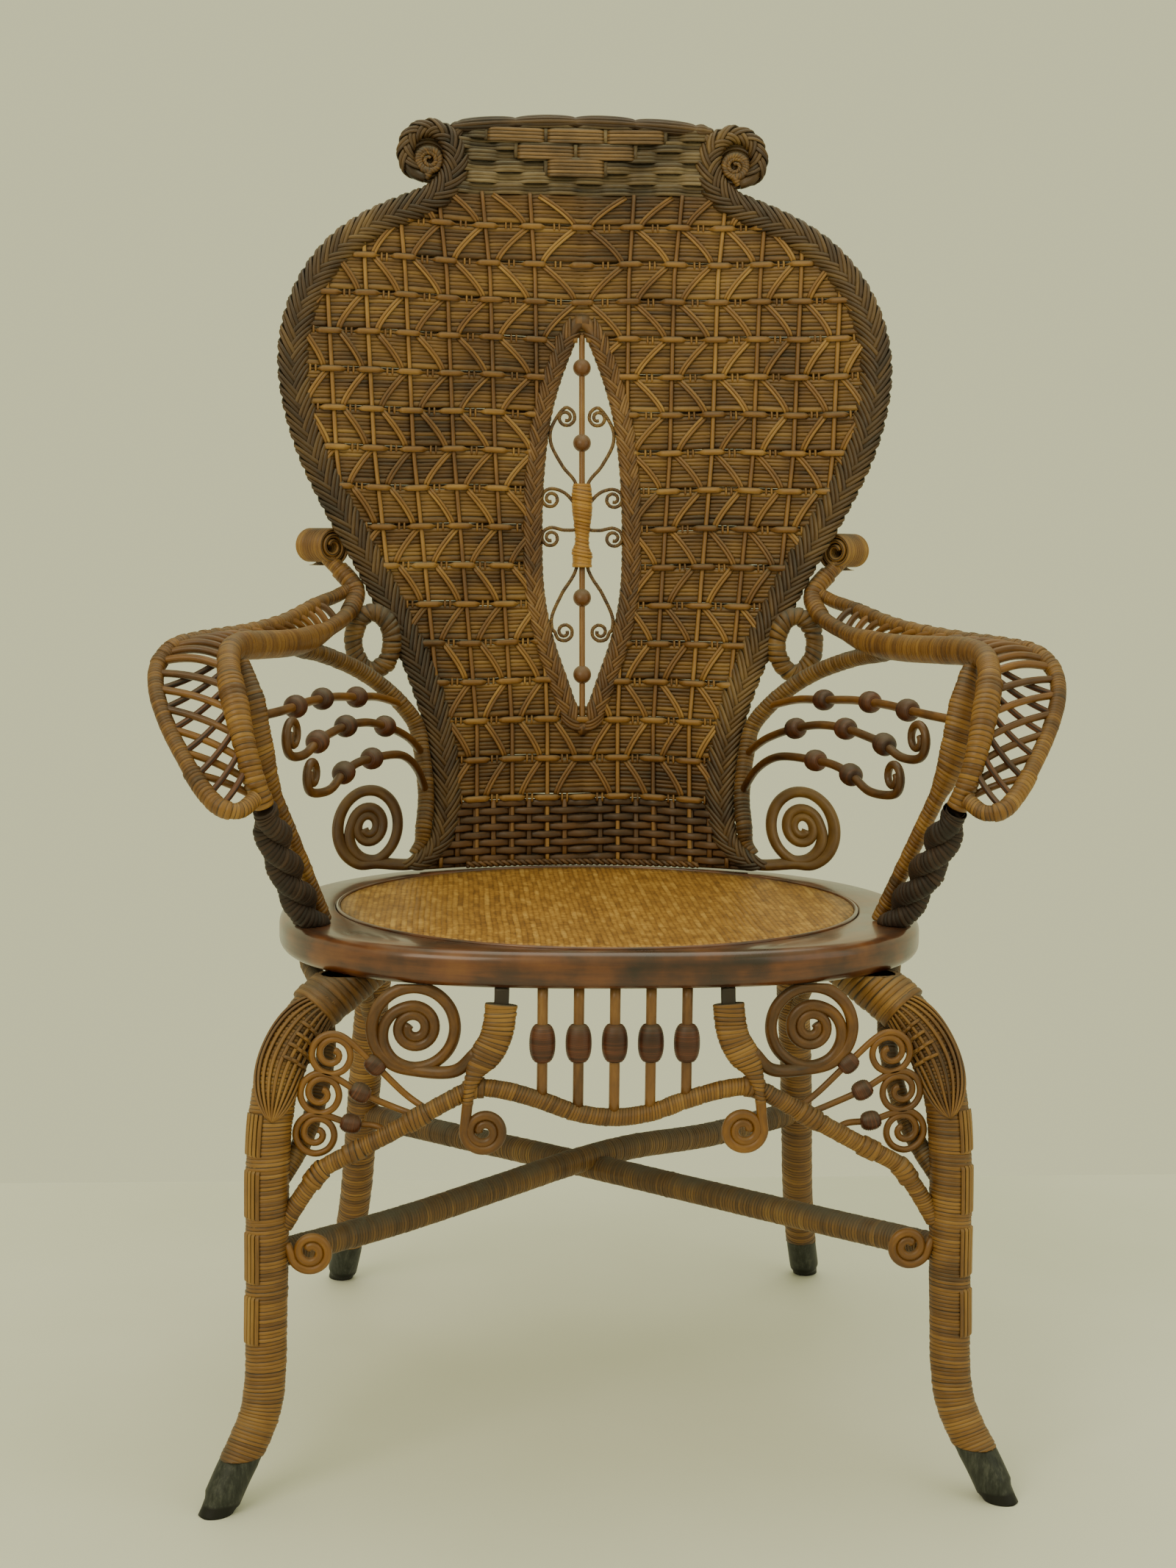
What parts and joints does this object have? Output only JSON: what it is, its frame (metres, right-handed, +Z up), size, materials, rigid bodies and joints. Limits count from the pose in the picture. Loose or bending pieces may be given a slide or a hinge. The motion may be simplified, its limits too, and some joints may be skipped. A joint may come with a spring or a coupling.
{
  "type": "wicker armchair",
  "caption": "Wicker armchair with a fiddle-shaped woven back, a round pressed-cane seat, scrolled arms, an openwork apron and splayed wrapped legs.",
  "frame": {"origin": "on the floor, under the middle of the chair's bounding box", "axes": "+X to the viewer's right when facing the chair, +Y towards the back, +Z up"},
  "size_m": [0.6986, 0.615, 1.125],
  "materials": {
    "varnish": "gloss varnish on bent hardwood",
    "cane": "satin pressed cane",
    "wrap": "aged satin cane wrapping",
    "weave": "aged woven reed",
    "dark": "dark wound cord",
    "bead": "dark stained cane and beads",
    "ferrule": "dark grey, black at the tip"
  },
  "bodies": {
    "root": {"seat_frame": "varnish", "seat_cane": "cane", "seat_spline": "cane", "front_leg_right": "wrap", "front_leg_left": "wrap", "front_ferrule_right": "ferrule", "front_ferrule_left": "ferrule", "back_leg_right": "wrap", "back_leg_left": "wrap", "back_ferrule_right": "ferrule", "back_ferrule_left": "ferrule", "stretcher_over": "wrap", "stretcher_under": "wrap", "side_brace_right": "wrap", "side_brace_left": "wrap", "apron_rail": "wrap", "apron_bracket_right": "wrap", "apron_bracket_left": "wrap", "apron_scroll_right": "wrap", "apron_scroll_left": "wrap", "corner_curls_right": "bead", "corner_curls_left": "bead", "spindle_1": "bead", "spindle_2": "bead", "spindle_3": "bead", "spindle_4": "bead", "spindle_5": "bead", "leg_scroll_right": "wrap", "leg_scroll_left": "wrap", "back_panel": "weave", "back_braid_right": "weave", "back_braid_left": "weave", "crest_border": "weave", "volute_eye_right": "cane", "volute_eye_left": "cane", "slit_braid": "weave", "slit_rod": "bead", "slit_scroll_right": "wrap", "slit_scroll_left": "wrap", "slit_binding": "cane", "arm_roll_right": "wrap", "arm_roll_left": "wrap", "arm_rail_right": "wrap", "arm_rail_left": "wrap", "arm_wing_right": "wrap", "arm_wing_left": "wrap", "arm_inner_post_right": "wrap", "arm_inner_post_left": "wrap", "arm_twist_post_right": "dark", "arm_twist_post_left": "dark", "arm_stay_right": "wrap", "arm_stay_left": "wrap", "arm_ring_right": "weave", "arm_ring_left": "weave", "arm_cane_1_right": "bead", "arm_cane_1_left": "bead", "arm_cane_2_right": "bead", "arm_cane_2_left": "bead", "arm_cane_3_right": "bead", "arm_cane_3_left": "bead"}
  },
  "joints": []
}
